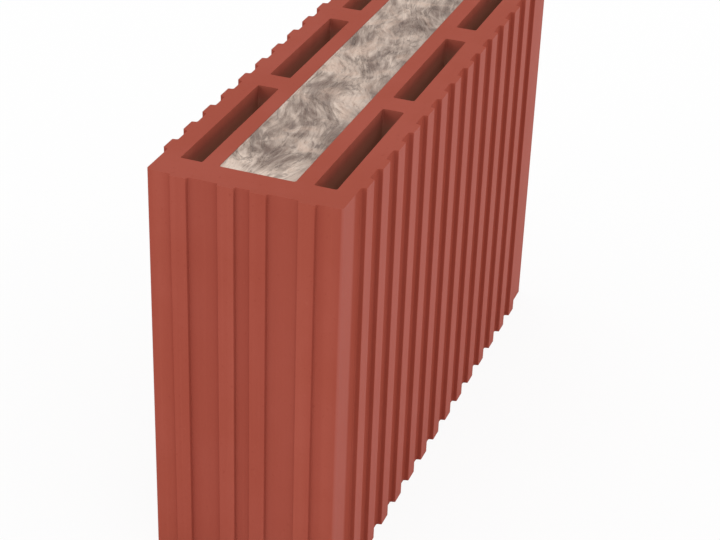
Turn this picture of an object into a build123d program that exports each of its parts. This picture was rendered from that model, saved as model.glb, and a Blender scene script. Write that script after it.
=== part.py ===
from build123d import *
import os

# A ground clay partition block filled with a strip of mineral wool against sound.
# X runs along the laying length, Y through the wall and Z up the pressed-out height.
# The origin is the centre of the box round the block, on its lower bed face.
# All sizes are in millimetres.

# The block over its ribs and without its tongues
BLOCK_LENGTH = 373.0
BLOCK_THICKNESS = 115.0
BLOCK_HEIGHT = 249.0
CORNER_RADIUS = 2.2

# Plaster-key ribs on both long sides
RIB_DEPTH = 3.0
RIB_PITCH = 23.8
RIB_CREST = 10.6
RIB_DRAFT = 0.7
END_STRIP = 26.5
RIB_EDGE_RADIUS = 0.6
RIB_ROOT_RADIUS = 1.2

# Walls through the thickness, from a long side inwards
OUTER_SHELL = 10.5
CELL_WIDTH = 12.7
INNER_WEB = 9.8

# Walls and air cells along the length, from the tongued end
CELL_END_WEB = 18.7
FIRST_CELL = 101.2
FIRST_CROSS_WEB = 16.3
MIDDLE_CELL = 93.7
SECOND_CROSS_WEB = 19.5
CELL_RADIUS = 1.2

# The wool chamber and the strip pushed into it
CHAMBER_END_WEB = 18.0
CHAMBER_RADIUS = 1.5
WOOL_CLEARANCE = 0.3

# Upright tongues on one end, and the grooves that take them on the other
TONGUE_WIDTH = 9.0
TONGUE_DEPTH = 2.0
TONGUE_DRAFT = 0.5
INNER_TONGUE_OFFSET = 9.0
OUTER_TONGUE_OFFSET = 35.7
GROOVE_SIDE_PLAY = 0.9
GROOVE_DEPTH_PLAY = 0.5
TONGUE_EDGE_RADIUS = 0.4
TONGUE_ROOT_RADIUS = 0.5

# Places that follow from the sizes
overall_length = BLOCK_LENGTH + TONGUE_DEPTH
tongued_end = TONGUE_DEPTH - overall_length / 2
grooved_end = overall_length / 2
groove_level = BLOCK_THICKNESS / 2 - RIB_DEPTH
cell_outer = groove_level - OUTER_SHELL
cell_inner = cell_outer - CELL_WIDTH
chamber_half = cell_inner - INNER_WEB
chamber_start = tongued_end + CHAMBER_END_WEB
chamber_end = grooved_end - CHAMBER_END_WEB
tongue_offsets = [
    -OUTER_TONGUE_OFFSET,
    -INNER_TONGUE_OFFSET,
    INNER_TONGUE_OFFSET,
    OUTER_TONGUE_OFFSET,
]


def rectangle(x_low, x_high, y_low, y_high):
    """A flat rectangle between two corners."""
    middle = ((x_low + x_high) / 2, (y_low + y_high) / 2)
    return Pos(*middle) * Rectangle(x_high - x_low, y_high - y_low)


def rounded(sketch, radius):
    """The same outline with every corner rounded."""
    return fillet(sketch.vertices(), radius)


def ridge(crest_width, draft, height, edge_radius, root_radius):
    """A tapered ridge that rises from y = 0 on a foot, with rounded crest edges and roots."""
    crest = crest_width / 2
    root = crest + draft
    foot = root + 2 * root_radius
    corners = [
        (-foot, -root_radius),
        (foot, -root_radius),
        (foot, 0),
        (root, 0),
        (crest, height),
        (-crest, height),
        (-root, 0),
        (-foot, 0),
    ]
    outline = make_face(Polyline(*corners, close=True))
    at_base = outline.vertices().sort_by(Axis.Y)[2:6]
    roots = at_base.sort_by(lambda corner: abs(corner.X))[:2]
    outline = fillet(roots, root_radius)
    crests = outline.vertices().sort_by(Axis.Y)[-2:]
    return fillet(crests, edge_radius)


def rib_places():
    """The middle of each rib along X, as many as the length holds between its end strips."""
    ribbed_length = BLOCK_LENGTH - 2 * END_STRIP
    count = int((ribbed_length - RIB_CREST) / RIB_PITCH + 1.001)
    spread = (count - 1) * RIB_PITCH
    middle = (tongued_end + grooved_end) / 2
    return [middle - spread / 2 + i * RIB_PITCH for i in range(count)]


def cell_spans():
    """The two ends of each air cell along X."""
    first_end = tongued_end + CELL_END_WEB + FIRST_CELL
    middle_start = first_end + FIRST_CROSS_WEB
    middle_end = middle_start + MIDDLE_CELL
    last_start = middle_end + SECOND_CROSS_WEB
    return [
        (tongued_end + CELL_END_WEB, first_end),
        (middle_start, middle_end),
        (last_start, grooved_end - CELL_END_WEB),
    ]


def outer_section():
    """The outline of the clay: the body with its ribs, tongues and grooves."""
    body = rectangle(tongued_end, grooved_end, -groove_level, groove_level)
    section = rounded(body, CORNER_RADIUS)
    rib = ridge(RIB_CREST, RIB_DRAFT, RIB_DEPTH, RIB_EDGE_RADIUS, RIB_ROOT_RADIUS)
    for x in rib_places():
        section += Pos(x, groove_level) * rib
        section += Pos(x, -groove_level) * Rot(0, 0, 180) * rib

    tongue = ridge(TONGUE_WIDTH, TONGUE_DRAFT, TONGUE_DEPTH, TONGUE_EDGE_RADIUS, TONGUE_ROOT_RADIUS)
    groove = ridge(
        TONGUE_WIDTH + 2 * GROOVE_SIDE_PLAY,
        TONGUE_DRAFT,
        TONGUE_DEPTH + GROOVE_DEPTH_PLAY,
        TONGUE_EDGE_RADIUS,
        TONGUE_ROOT_RADIUS,
    )
    for y in tongue_offsets:
        section += Pos(tongued_end, y) * Rot(0, 0, 90) * tongue
        section -= Pos(grooved_end, y) * Rot(0, 0, 90) * groove
    return section


def clay_block():
    """One pressed and fired body, open from bed to bed through its cells and its chamber."""
    section = outer_section()
    for x_low, x_high in cell_spans():
        section -= rounded(rectangle(x_low, x_high, cell_inner, cell_outer), CELL_RADIUS)
        section -= rounded(rectangle(x_low, x_high, -cell_outer, -cell_inner), CELL_RADIUS)
    chamber = rectangle(chamber_start, chamber_end, -chamber_half, chamber_half)
    section -= rounded(chamber, CHAMBER_RADIUS)
    return extrude(section, BLOCK_HEIGHT)


def mineral_wool_insert():
    """The strip of wool, a close slide in its chamber and flush with both bed faces."""
    outline = rectangle(
        chamber_start + WOOL_CLEARANCE,
        chamber_end - WOOL_CLEARANCE,
        -chamber_half + WOOL_CLEARANCE,
        chamber_half - WOOL_CLEARANCE,
    )
    return extrude(rounded(outline, CHAMBER_RADIUS), BLOCK_HEIGHT)


pieces = {
    "clay_block": clay_block(),
    "mineral_wool_insert": mineral_wool_insert(),
}

os.makedirs("parts", exist_ok=True)
for name, piece in pieces.items():
    export_step(piece, f"parts/{name}.step")
    print(name, round(piece.volume / 1e6, 4), "litres")
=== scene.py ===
"""A clay partition block with ribbed sides and a mineral wool strip, on a white studio floor.

The block runs along X with its tongues at -X, stands on Z = 0 and is drawn in metres.
The clay is the frame's own part with a fired-clay finish. The wool is modelled here.
"""
import math
import random

import bmesh
import bpy
from mathutils import Euler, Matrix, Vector, noise


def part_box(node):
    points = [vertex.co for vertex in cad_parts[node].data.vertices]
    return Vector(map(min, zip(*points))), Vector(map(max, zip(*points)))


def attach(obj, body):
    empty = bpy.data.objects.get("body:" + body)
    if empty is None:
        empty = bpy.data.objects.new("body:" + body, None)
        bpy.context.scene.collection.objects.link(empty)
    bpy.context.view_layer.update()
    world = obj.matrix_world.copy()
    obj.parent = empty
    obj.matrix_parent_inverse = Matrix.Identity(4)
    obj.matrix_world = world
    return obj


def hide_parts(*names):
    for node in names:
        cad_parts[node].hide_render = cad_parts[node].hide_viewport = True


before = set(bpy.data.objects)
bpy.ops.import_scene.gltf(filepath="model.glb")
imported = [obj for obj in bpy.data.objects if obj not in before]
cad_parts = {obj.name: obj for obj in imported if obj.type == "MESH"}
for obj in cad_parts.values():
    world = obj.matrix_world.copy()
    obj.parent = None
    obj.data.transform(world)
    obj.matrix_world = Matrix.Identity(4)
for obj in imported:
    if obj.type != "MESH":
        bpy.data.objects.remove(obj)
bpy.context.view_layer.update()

MM = 0.001

# Places read from the frame
clay_low, clay_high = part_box("clay_block")
wool_low, wool_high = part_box("mineral_wool_insert")
block_height = clay_high.z - clay_low.z

# How far the tongues stand out, and half the width that they take up
TONGUE_DEPTH = 2.0 * MM
TONGUE_REACH = 40.0 * MM

# Just past the outer wall of the air cells, and halfway up the ribs, both from the middle plane
CELL_OUTER = 44.3 * MM
RIB_MIDDLE = 56.0 * MM

# Just short of the cells from the block's end, and the start of the end strips, pale with painted sheen,
# from its middle
CELL_END_WEB = 16.0 * MM
PALE_STRIP = 168.5 * MM

# Where the clay's tones pass into each other beside those places, from low to high
CELL_FADE = (-0.2 * MM, 0.2 * MM)
CELL_END_FADE = (0.0, 1.0 * MM)
CELL_MOUTH_FADE = (2.0 * MM, 16.0 * MM)
TONGUE_CREST_FADE = (-1.2 * MM, -0.4 * MM)
TONGUE_BACK_FADE = (-4.0 * MM, -2.0 * MM)
TONGUE_SIDE_FADE = (-1.0 * MM, 1.0 * MM)
RIB_CREST_FADE = (-0.3 * MM, 0.3 * MM)
END_STRIP_FADE = (-2.0 * MM, 2.0 * MM)
SHELL_FADE = (4.0 * MM, 6.0 * MM)

# How far a face has to turn to count as a bed face, or as part of a long side
BED_FACING = (0.5, 0.9)
SIDE_FACING = (0.4, 0.9)

# The painted light in the air cells, and the clay's relief
PAINTED_LIGHT_AT_MOUTH = 0.08
PAINTED_LIGHT_INSIDE = 0.78
DIE_LINE_STRETCH = 0.012
CLAY_BUMP = 0.05 * MM

# The wool strip's mesh
WOOL_GRID = 0.7 * MM
WOOL_SKIRT_ROWS = (0.6 * MM, 1.6 * MM, 3.2 * MM, 7.0 * MM, 20.0 * MM)
WOOL_SPREAD = 0.25 * MM

# The wool's matted faces: how high each kind of relief is, and how often it comes in a metre
WOOL_LUMP = 0.6 * MM
WOOL_LUMPS = 38.0
WOOL_RIDGE = 0.4 * MM
WOOL_RIDGES_ALONG = 60.0
WOOL_RIDGES_ACROSS = 190.0
WOOL_NAP = 0.12 * MM
WOOL_NAPS_ALONG = 220.0
WOOL_NAPS_ACROSS = 520.0
WOOL_TOP_SEED = 1.0
WOOL_BOTTOM_SEED = 21.0

# How those faces lie in the chamber: sunk, capped in height, lower at its walls and clear of the floor
WOOL_SINK = 0.1 * MM
WOOL_TALLEST = 0.6 * MM
WOOL_EDGE_DROP = 0.05 * MM
WOOL_EDGE_REACH = 1.5 * MM
WOOL_BOTTOM_GAP = 0.15 * MM
WOOL_RELIEF_FALL = 8

# The wool's finish: its bump, and where painted shade darkens it towards the wall at -Y
WOOL_BUMP = 0.5 * MM
WOOL_SHADED_EDGE = (13.0 * MM, 22.0 * MM)

# The drift of the fibres: its slant, its turn away from the tongued end, its swirls and its curls
WOOL_SLANT = 0.05
WOOL_TURN = 0.7
WOOL_TURN_RUN = 170.0 * MM
WOOL_SHIFT = 110.0 * MM
WOOL_DRIFT_SEED = 4
SWIRLS = 21.0
SWIRL_ALONG = 10.0 * MM
SWIRL_ACROSS = 13.0 * MM
CURLS = 62.0
CURL_ALONG = 3.0 * MM
CURL_ACROSS = 1.6 * MM
CURL_OFFSET = (7.3, 1.9, 4.4)
HEADING_STEP = 0.5 * MM

# The loose strands: pairs are the least and the most, apart from the shade's mean and spread
FIBRES_ABOVE = 2000
FIBRES_BELOW = 1200
FIBRE_POINTS = 7
FIBRE_SIDES = 3
FIBRE_MARGIN = 1.0 * MM
FIBRE_STEP = (0.8 * MM, 2.8 * MM)
FIBRE_LEAST_STEP = 0.25
FIBRE_SWING = 0.22
FIBRE_CURL = 0.05
FIBRE_RADIUS = (0.04 * MM, 0.10 * MM)
FIBRE_TIP = 0.25
FIBRE_ARCH = (0.05 * MM, 0.5 * MM)
FIBRE_SHADE = (0.62, 0.22)

# The camera, solved from the photograph's perspective
CAMERA_PLACE = (-0.92984, -0.33405, 0.67394)
CAMERA_TURN = (59.979, -1.811, -69.060)
CAMERA_LENS = 90.65
CAMERA_SENSOR = 36.0

# The studio
FLOOR_RADIUS = 6.0
FLOOR_GLOW = 0.9
SURROUND_STRENGTH = 0.98
WHITE = (1.0, 1.0, 1.0, 1.0)
FLOOR_WHITE = (0.92, 0.92, 0.92, 1.0)


def tone(red, green, blue):
    """A colour given as 0 to 255 screen values, as the linear colour that shaders take."""
    linear = []
    for value in (red, green, blue):
        share = value / 255
        if share <= 0.04045:
            linear.append(share / 12.92)
        else:
            linear.append(((share + 0.055) / 1.055) ** 2.4)
    return (*linear, 1.0)


class Signal:
    """A value on its way through a material. Arithmetic on it adds Math nodes."""

    def __init__(self, finish, socket):
        self.finish = finish
        self.socket = socket

    def math(self, operation, first, second=0.0):
        return self.finish.node("ShaderNodeMath", {"operation": operation}, {0: first, 1: second})

    def __add__(self, other):
        return self.math("ADD", self, other)

    def __radd__(self, other):
        return self.math("ADD", other, self)

    def __sub__(self, other):
        return self.math("SUBTRACT", self, other)

    def __rsub__(self, other):
        return self.math("SUBTRACT", other, self)

    def __mul__(self, other):
        return self.math("MULTIPLY", self, other)

    def __rmul__(self, other):
        return self.math("MULTIPLY", other, self)

    def __abs__(self):
        return self.math("ABSOLUTE", self)

    def between(self, low, high):
        """0 at low, 1 at high and a smooth change between them. Low may be the larger of the two."""
        settings = {"interpolation_type": "SMOOTHSTEP"}
        inputs = {"Value": self, "From Min": low, "From Max": high}
        return self.finish.node("ShaderNodeMapRange", settings, inputs)


class Finish:
    """The nodes of a material or world, and the few ways in which they are made."""

    def __init__(self, owner):
        self.owner = owner
        self.owner.use_nodes = True
        self.tree = self.owner.node_tree
        self.tree.nodes.clear()

    def node(self, kind, settings=None, inputs=None, output=0):
        """Makes a node, sets it up, feeds its sockets and gives one of its outputs."""
        made = self.tree.nodes.new(kind)
        for name, value in (settings or {}).items():
            setattr(made, name, value)
        for name, value in (inputs or {}).items():
            if isinstance(value, Signal):
                self.tree.links.new(value.socket, made.inputs[name])
            else:
                made.inputs[name].default_value = value
        return Signal(self, made.outputs[output])

    def place(self):
        """The point's own place on the block, in metres."""
        return self.node("ShaderNodeTexCoord", output="Object")

    def attribute(self, name, output):
        return self.node("ShaderNodeAttribute", {"attribute_name": name}, output=output)

    def axes(self, vector):
        """The X, Y and Z shares of a vector as three values."""
        split = self.node("ShaderNodeSeparateXYZ", inputs={0: vector})
        outputs = split.socket.node.outputs
        return [Signal(self, outputs[i]) for i in range(3)]

    def stretched(self, vector, scale):
        return self.node("ShaderNodeMapping", inputs={"Vector": vector, "Scale": scale})

    def noise(self, vector, scale, detail, roughness, distortion=0.0):
        inputs = {
            "Vector": vector,
            "Scale": scale,
            "Detail": detail,
            "Roughness": roughness,
            "Distortion": distortion,
        }
        return self.node("ShaderNodeTexNoise", inputs=inputs)

    def mix(self, share, first, second):
        """From the first colour at share 0 to the second at share 1, by the node's colour sockets."""
        return self.node("ShaderNodeMix", {"data_type": "RGBA"}, {0: share, 6: first, 7: second}, output=2)

    def bump(self, height, distance):
        return self.node("ShaderNodeBump", inputs={"Height": height, "Distance": distance, "Strength": 1.0})

    def surface(self, shader, kind="ShaderNodeOutputMaterial"):
        """Ends the nodes with the given shader, and gives the material or world."""
        end = self.tree.nodes.new(kind)
        self.tree.links.new(shader.socket, end.inputs["Surface"])
        return self.owner


def cell_painted_light(along, through, up, upright):
    """How much painted light pales and greys the walls of the air cells: hardly at their mouths, and much
    further in.
    """
    behind_shell = (CELL_OUTER - abs(through)).between(*CELL_FADE)
    past_end_web = (clay_high.x - CELL_END_WEB - abs(along)).between(*CELL_END_FADE)
    from_mouth = block_height / 2 - abs(up - block_height / 2)
    inside = from_mouth.between(*CELL_MOUTH_FADE)
    return upright * behind_shell * past_end_web * (PAINTED_LIGHT_AT_MOUTH + inside * PAINTED_LIGHT_INSIDE)


def floor_shade_between_tongues(along, through, upright):
    """The end face between the tongues, which lies behind their crests and takes painted shade."""
    floor_level = clay_low.x + TONGUE_DEPTH
    behind_crest = (along - floor_level).between(*TONGUE_CREST_FADE)
    before_cells = (floor_level - along).between(*TONGUE_BACK_FADE)
    between_tongues = (TONGUE_REACH - abs(through)).between(*TONGUE_SIDE_FADE)
    return upright * behind_crest * before_cells * between_tongues


def sheen_and_groove_shade(along, through, facing_side, upright):
    """Painted sheen on the crests and end strips of the long sides, and painted shade in the grooves
    between the ribs.
    """
    on_crest = (abs(through) - RIB_MIDDLE).between(*RIB_CREST_FADE)
    on_strip = (abs(along) - PALE_STRIP).between(*END_STRIP_FADE)
    past_cells = upright * (abs(through) - CELL_OUTER).between(*SHELL_FADE)
    flat_on = abs(facing_side).between(*SIDE_FACING)
    painted_sheen = past_cells * flat_on * (on_crest + on_strip)
    groove_shade = past_cells * (1 - flat_on * on_crest) * (1 - on_strip)
    return painted_sheen, groove_shade


def fired_clay():
    """Unglazed terracotta with die lines down its extruded faces and a plain ground bed, with painted shade
    and painted sheen in its colour.
    """
    clay = Finish(bpy.data.materials.new("fired_clay"))
    place = clay.place()
    along, through, up = clay.axes(place)
    facing = clay.node("ShaderNodeNewGeometry", output="True Normal")
    _, facing_side, facing_bed = clay.axes(facing)
    upright = 1 - abs(facing_bed).between(*BED_FACING)
    painted_cell_light = cell_painted_light(along, through, up, upright)
    painted_floor_shade = floor_shade_between_tongues(along, through, upright)
    painted_sheen, groove_shade = sheen_and_groove_shade(along, through, facing_side, upright)

    cloud = clay.noise(place, scale=16.0, detail=4.0, roughness=0.55)
    fleck = clay.noise(place, scale=420.0, detail=3.0, roughness=0.6)
    pressed_out = clay.stretched(place, (1.0, 1.0, DIE_LINE_STRETCH))
    die_lines = clay.noise(pressed_out, scale=520.0, detail=3.0, roughness=0.6)
    broad_lines = clay.noise(pressed_out, scale=110.0, detail=2.0, roughness=0.5)

    base = clay.mix(cloud.between(0.36, 0.66), tone(161, 79, 64), tone(165, 83, 69))
    lined = clay.mix(upright * broad_lines.between(0.35, 0.7) * 0.4, base, tone(152, 69, 56))
    scored = clay.mix(upright * die_lines.between(0.5, 0.75) * 0.2, lined, tone(173, 89, 73))
    speckled = clay.mix(fleck.between(0.62, 0.78) * 0.2, scored, tone(179, 99, 83))
    pitted = clay.mix(fleck.between(0.38, 0.26) * 0.3, speckled, tone(138, 60, 48))
    # Painted shade darkens the end face between the tongues
    floor_shaded = clay.mix(painted_floor_shade * 0.35, pitted, tone(150, 70, 58))
    # Painted shade darkens the grooves between the ribs
    shaded = clay.mix(groove_shade * 0.35, floor_shaded, tone(140, 58, 44))
    # Painted sheen lightens the rib crests and the end strips of the long sides
    sheened = clay.mix(painted_sheen * 0.5, shaded, tone(173, 100, 91))
    # Painted light: a paler, greyer tone that brightens the shaded depths of the air cells
    cell_lit = clay.mix(painted_cell_light, sheened, tone(182, 132, 110))

    relief = die_lines * upright * 0.8 + broad_lines * upright * 1.2 + fleck * 0.3
    shader = clay.node(
        "ShaderNodeBsdfPrincipled",
        inputs={
            "Base Color": cell_lit,
            "Roughness": 0.36 + fleck * 0.1,
            "Specular IOR Level": 0.007,
            "Normal": clay.bump(relief, CLAY_BUMP),
        },
    )
    return clay.surface(shader)


def wool_finish(name, on_strands=False):
    """Matted stone wool: pale and dark bands that follow the drift of the fibres."""
    wool = Finish(bpy.data.materials.new(name))
    place = wool.place()
    _, through, _ = wool.axes(place)
    drift = wool.attribute("drift", "Vector")
    long_drift = wool.stretched(drift, (0.5, 1.0, 1.0))
    band_drift = wool.stretched(drift, (0.3, 1.0, 1.0))
    hair_drift = wool.stretched(drift, (0.1, 1.0, 1.0))
    cloud = wool.noise(long_drift, scale=46.0, detail=2.0, roughness=0.5, distortion=0.9)
    puffs = wool.noise(place, scale=45.0, detail=3.0, roughness=0.5, distortion=1.0)
    bands = wool.noise(band_drift, scale=150.0, detail=4.0, roughness=0.58, distortion=1.0)
    hairs = wool.noise(hair_drift, scale=800.0, detail=3.0, roughness=0.6, distortion=0.3)
    tuft_gaps = wool.noise(band_drift, scale=95.0, detail=3.0, roughness=0.5, distortion=0.9)
    stain = wool.noise(place, scale=45.0, detail=3.0, roughness=0.6, distortion=1.0)
    knots = wool.noise(place, scale=620.0, detail=3.0, roughness=0.6)

    level = cloud * 0.6 + puffs * 0.5 + bands * 0.65 + hairs * 0.22
    base = wool.mix(level.between(0.76, 1.22), tone(119, 97, 86), tone(222, 202, 187))
    warm = wool.mix(stain.between(0.5, 0.66) * 0.35, base, tone(192, 158, 138))
    # Painted shadow: thin dark lines in the gaps between the tufts
    painted_tuft_shadow = (1 - abs(tuft_gaps - 0.5).between(0.004, 0.03)) * puffs.between(0.58, 0.46)
    tuft_shadowed = wool.mix(painted_tuft_shadow * 0.6, warm, tone(106, 89, 81))
    knotted = wool.mix(knots.between(0.42, 0.3) * 0.3, tuft_shadowed, tone(106, 88, 79))
    # Painted shade darkens the wool towards the wall at -Y
    colour = wool.mix((0 - through).between(*WOOL_SHADED_EDGE) * 0.35, knotted, tone(118, 102, 93))
    if on_strands:
        shade = wool.attribute("shade", "Fac")
        colour = wool.mix((1 - shade) * 0.35, colour, tone(112, 94, 86))
        colour = wool.mix(shade * 0.35, colour, tone(232, 216, 203))

    relief = bands * 0.9 + hairs * 0.4 + knots * 0.4
    shader = wool.node(
        "ShaderNodeBsdfPrincipled",
        inputs={
            "Base Color": colour,
            "Roughness": 0.9,
            "Sheen Weight": 0.08,
            "Sheen Roughness": 0.6,
            "Normal": wool.bump(relief, WOOL_BUMP),
        },
    )
    return wool.surface(shader)


def drifted(x, y):
    """Where a point of the wool lies along and across the drift of its fibres."""
    here = Vector((x, y, 0.0))
    slow = noise.noise_vector(here * SWIRLS)
    quick = noise.noise_vector(here * CURLS + Vector(CURL_OFFSET))
    run = x - wool_low.x
    bend = min(run, WOOL_TURN_RUN)
    turned = WOOL_SLANT * run + WOOL_TURN * bend * (2 * run - bend)
    along = x + WOOL_SHIFT + SWIRL_ALONG * slow.x + CURL_ALONG * quick.x
    across = y - turned + SWIRL_ACROSS * slow.y + CURL_ACROSS * quick.y
    return along, across


def drift_heading(x, y):
    """The direction in which the fibres lie at a point. The place across the drift is constant along it."""
    change_by_x = drifted(x + HEADING_STEP, y)[1] - drifted(x - HEADING_STEP, y)[1]
    change_by_y = drifted(x, y + HEADING_STEP)[1] - drifted(x, y - HEADING_STEP)[1]
    heading = Vector((change_by_y, -change_by_x))
    if heading.x < 0:
        heading = -heading
    return heading.normalized()


def wool_relief(x, y, seed):
    """Height of the matted surface about its mean, from lumps, ridges along the drift and nap."""
    along, across = drifted(x, y)
    lump_place = Vector((x * WOOL_LUMPS, y * WOOL_LUMPS, seed))
    ridge_place = Vector((along * WOOL_RIDGES_ALONG, across * WOOL_RIDGES_ACROSS, seed + 5.0))
    nap_place = Vector((along * WOOL_NAPS_ALONG, across * WOOL_NAPS_ACROSS, seed + 9.0))
    # The numbers after the place are how fast the detail fades, its step in scale and its layers.
    lump = noise.fractal(lump_place, 1.0, 2.0, 3)
    ridge = noise.fractal(ridge_place, 0.9, 2.0, 4)
    nap = noise.noise(nap_place)
    return WOOL_LUMP * lump + WOOL_RIDGE * ridge + WOOL_NAP * nap


def edge_share(x, y):
    """1 beside the chamber's walls, falling to 0 away from them."""
    from_x = min(x - wool_low.x, wool_high.x - x)
    from_y = min(y - wool_low.y, wool_high.y - y)
    nearest = max(min(from_x, from_y), 0.0)
    return math.exp(-nearest / WOOL_EDGE_REACH)


def wool_top(x, y):
    """The height of the wool's upper surface."""
    edge = edge_share(x, y)
    relief = wool_relief(x, y, WOOL_TOP_SEED) * (1 - edge)
    height = wool_high.z - WOOL_SINK - WOOL_EDGE_DROP * edge + relief
    return min(height, wool_high.z + WOOL_TALLEST)


def wool_bottom(x, y):
    """The height of the wool's lower surface, which stays just clear of the floor."""
    edge = edge_share(x, y)
    relief = wool_relief(x, y, WOOL_BOTTOM_SEED) * (1 - edge)
    height = wool_low.z + WOOL_SINK + WOOL_EDGE_DROP * edge - relief
    return max(height, wool_low.z + WOOL_BOTTOM_GAP)


def mesh_from(name, shape):
    """The mesh of a finished bmesh."""
    mesh = bpy.data.meshes.new(name)
    shape.to_mesh(mesh)
    shape.free()
    return mesh


def add_piece(name, mesh, material):
    """An object at the origin, with its mesh and its finish."""
    mesh.materials.append(material)
    piece = bpy.data.objects.new(name, mesh)
    bpy.context.collection.objects.link(piece)
    return piece


def mark_drift(mesh):
    """Stores each vertex's place in the drift of the fibres, for the wool's finish to read."""
    drift = mesh.attributes.new("drift", "FLOAT_VECTOR", "POINT")
    for vert in mesh.vertices:
        along, across = drifted(vert.co.x, vert.co.y)
        drift.data[vert.index].vector = (along, across, vert.co.z)


def wool_blank():
    """A plain closed strip: a fine grid on top, a skirt down to half its height and its mirror below."""
    shape = bmesh.new()
    length = wool_high.x - wool_low.x + 2 * WOOL_SPREAD
    width = wool_high.y - wool_low.y + 2 * WOOL_SPREAD
    half_height = (wool_high.z - wool_low.z) / 2
    columns = round(length / WOOL_GRID)
    rows = round(width / WOOL_GRID)
    bmesh.ops.create_grid(shape, x_segments=columns, y_segments=rows, size=0.5)
    bmesh.ops.scale(shape, vec=(length, width, 1.0), verts=shape.verts)
    bmesh.ops.translate(shape, vec=(0, 0, half_height), verts=shape.verts)

    rim = [edge for edge in shape.edges if edge.is_boundary]
    above = 0.0
    for depth in (*WOOL_SKIRT_ROWS, half_height):
        skirt = bmesh.ops.extrude_edge_only(shape, edges=rim)["geom"]
        lowered = [item for item in skirt if isinstance(item, bmesh.types.BMVert)]
        rim = [item for item in skirt if isinstance(item, bmesh.types.BMEdge)]
        bmesh.ops.translate(shape, vec=(0, 0, above - depth), verts=lowered)
        above = depth
    whole = shape.verts[:] + shape.edges[:] + shape.faces[:]
    bmesh.ops.mirror(shape, geom=whole, merge_dist=0.01 * MM, axis="Z")
    bmesh.ops.translate(shape, vec=(wool_low + wool_high) / 2, verts=shape.verts)
    bmesh.ops.recalc_face_normals(shape, faces=shape.faces)
    return shape


def wool_strip(material):
    """The strip of wool with both of its open faces matted. The relief fades down its sides."""
    shape = wool_blank()
    half = (wool_low.z + wool_high.z) / 2
    for vert in shape.verts:
        x, y, z = vert.co
        if z > half:
            share = ((z - half) / (wool_high.z - half)) ** WOOL_RELIEF_FALL
            vert.co.z += share * (wool_top(x, y) - wool_high.z)
        elif z < half:
            share = ((half - z) / (half - wool_low.z)) ** WOOL_RELIEF_FALL
            vert.co.z += share * (wool_bottom(x, y) - wool_low.z)
    for face in shape.faces:
        face.smooth = True
    name = "mineral_wool_strip"
    piece = add_piece(name, mesh_from(name, shape), material)
    mark_drift(piece.data)
    return piece


def strand_path(draw, surface, arch_share):
    """The points of one strand that follows the drift, and its radius. No points if a wall stops it."""
    x = draw.uniform(wool_low.x + FIBRE_MARGIN, wool_high.x - FIBRE_MARGIN)
    y = draw.uniform(wool_low.y + FIBRE_MARGIN, wool_high.y - FIBRE_MARGIN)
    step = draw.uniform(*FIBRE_STEP)
    swing = draw.gauss(0.0, FIBRE_SWING)
    curl = draw.gauss(0.0, FIBRE_CURL)
    radius = draw.uniform(*FIBRE_RADIUS)
    arch = draw.uniform(*FIBRE_ARCH) * arch_share
    path = []
    for i in range(FIBRE_POINTS):
        x = min(max(x, wool_low.x + FIBRE_MARGIN), wool_high.x - FIBRE_MARGIN)
        y = min(max(y, wool_low.y + FIBRE_MARGIN), wool_high.y - FIBRE_MARGIN)
        lift = arch * math.sin(math.pi * i / (FIBRE_POINTS - 1))
        path.append(Vector((x, y, surface(x, y) + lift)))
        heading = drift_heading(x, y)
        angle = math.atan2(heading.y, heading.x) + swing + curl * i
        x += step * math.cos(angle)
        y += step * math.sin(angle)

    shortest = min((path[i + 1] - path[i]).length for i in range(FIBRE_POINTS - 1))
    if shortest < FIBRE_LEAST_STEP * step or (path[-1] - path[0]).length < step:
        path = []
    return path, radius


def strand_rings(path, radius):
    """A ring of corners round each point of a strand, which is thin at both ends."""
    corners = []
    count = len(path)
    for i, point in enumerate(path):
        ahead = path[min(i + 1, count - 1)] - path[max(i - 1, 0)]
        aside = ahead.cross(Vector((0, 0, 1))).normalized()
        over = aside.cross(ahead).normalized()
        girth = radius * (FIBRE_TIP + (1 - FIBRE_TIP) * math.sin(math.pi * (i + 0.5) / count))
        for corner in range(FIBRE_SIDES):
            turn = 2 * math.pi * corner / FIBRE_SIDES
            corners.append(point + girth * (math.cos(turn) * aside + math.sin(turn) * over))
    return corners


def strand_faces(start):
    """The sides and both ends of the strand whose corners count up from start."""
    faces = []
    for i in range(FIBRE_POINTS - 1):
        ring = start + FIBRE_SIDES * i
        for corner in range(FIBRE_SIDES):
            here = ring + corner
            beside = ring + (corner + 1) % FIBRE_SIDES
            faces.append((here, here + FIBRE_SIDES, beside + FIBRE_SIDES, beside))
    last = start + FIBRE_SIDES * (FIBRE_POINTS - 1)
    faces.append(tuple(range(start, start + FIBRE_SIDES)))
    faces.append(tuple(reversed(range(last, last + FIBRE_SIDES))))
    return faces


def loose_fibres(name, material, count, surface, arch_share, seed):
    """Loose strands that lie in the drift of the wool, joined as one mesh."""
    draw = random.Random(seed)
    corners = []
    faces = []
    shades = []
    for _ in range(count):
        path, radius = strand_path(draw, surface, arch_share)
        if not path:
            continue
        faces.extend(strand_faces(len(corners)))
        corners.extend(strand_rings(path, radius))
        shade = min(max(draw.gauss(*FIBRE_SHADE), 0.0), 1.0)
        shades.extend([shade] * (FIBRE_SIDES * FIBRE_POINTS))

    mesh = bpy.data.meshes.new(name)
    mesh.from_pydata(corners, [], faces)
    mark_drift(mesh)
    mesh.attributes.new("shade", "FLOAT", "POINT").data.foreach_set("value", shades)
    return add_piece(name, mesh, material)


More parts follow.
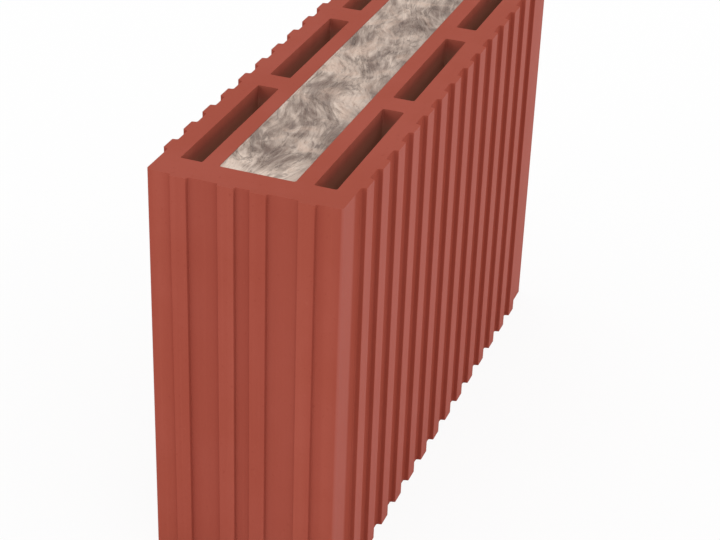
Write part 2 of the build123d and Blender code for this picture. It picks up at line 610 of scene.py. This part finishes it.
def white_floor():
    """A white floor that shows only a faint shadow to the camera."""
    paint = Finish(bpy.data.materials.new("studio_floor"))
    seen = paint.node("ShaderNodeLightPath", output="Is Camera Ray")
    matt = paint.node("ShaderNodeBsdfDiffuse", inputs={"Color": FLOOR_WHITE})
    glow = paint.node("ShaderNodeEmission", inputs={"Color": WHITE, "Strength": 1.0})
    both = paint.node("ShaderNodeMixShader", inputs={0: seen * FLOOR_GLOW, 1: matt, 2: glow})
    shape = bmesh.new()
    bmesh.ops.create_circle(shape, cap_ends=True, segments=64, radius=FLOOR_RADIUS)
    floor = add_piece("studio_floor", mesh_from("studio_floor", shape), paint.surface(both))


def studio_world():
    """An even pale surround that lights the block and reads white to the camera."""
    sky = Finish(bpy.data.worlds.new("studio"))
    seen = sky.node("ShaderNodeLightPath", output="Is Camera Ray")
    surround = sky.node("ShaderNodeBackground", inputs={"Color": WHITE, "Strength": SURROUND_STRENGTH})
    backdrop = sky.node("ShaderNodeBackground", inputs={"Color": WHITE, "Strength": 1.0})
    both = sky.node("ShaderNodeMixShader", inputs={0: seen, 1: surround, 2: backdrop})
    bpy.context.scene.world = sky.surface(both, "ShaderNodeOutputWorld")


def sun(name, heading, height, strength, softness):
    """A distant lamp. The light comes from heading, in degrees from +X towards +Y, and from height."""
    lamp = bpy.data.lights.new(name, "SUN")
    lamp.energy = strength
    lamp.angle = math.radians(softness)
    item = bpy.data.objects.new(name, lamp)
    bpy.context.collection.objects.link(item)
    around = math.radians(heading)
    above = math.radians(height)
    level = math.cos(above)
    source = Vector((math.cos(around) * level, math.sin(around) * level, math.sin(above)))
    item.rotation_mode = "QUATERNION"
    item.rotation_quaternion = source.to_track_quat("Z", "Y")


def camera():
    """The photograph's view of the tongued end, the ribbed side and the open bed."""
    lens = bpy.data.cameras.new("photo_camera")
    lens.lens = CAMERA_LENS
    lens.sensor_width = CAMERA_SENSOR
    lens.clip_start = 0.05
    lens.clip_end = 30.0
    item = bpy.data.objects.new("photo_camera", lens)
    bpy.context.collection.objects.link(item)
    item.location = CAMERA_PLACE
    item.rotation_euler = Euler([math.radians(turn) for turn in CAMERA_TURN], "XYZ")
    bpy.context.scene.camera = item


def dress_clay():
    """The frame's clay keeps its shape and takes the fired-clay finish."""
    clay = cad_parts["clay_block"]
    clay.data.materials.clear()
    clay.data.materials.append(fired_clay())


def dress_wool():
    """The wool strip and the strands on both of its open faces. Those below lie flat."""
    noise.seed_set(WOOL_DRIFT_SEED)
    strip = wool_strip(wool_finish("mineral_wool"))
    loose = wool_finish("mineral_wool_strands", on_strands=True)
    above = loose_fibres("wool_fibres_above", loose, FIBRES_ABOVE, wool_top, arch_share=1.0, seed=11)
    below = loose_fibres("wool_fibres_below", loose, FIBRES_BELOW, wool_bottom, arch_share=0.0, seed=12)
    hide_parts("mineral_wool_insert")
    for piece in (strip, above, below):
        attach(piece, "root")


dress_clay()
dress_wool()
white_floor()
studio_world()
sun("soft_key", heading=160.0, height=14.0, strength=0.32, softness=15.0)
sun("side_fill", heading=-75.0, height=20.0, strength=0.33, softness=20.0)
camera()
bpy.context.scene.view_settings.view_transform = "Standard"
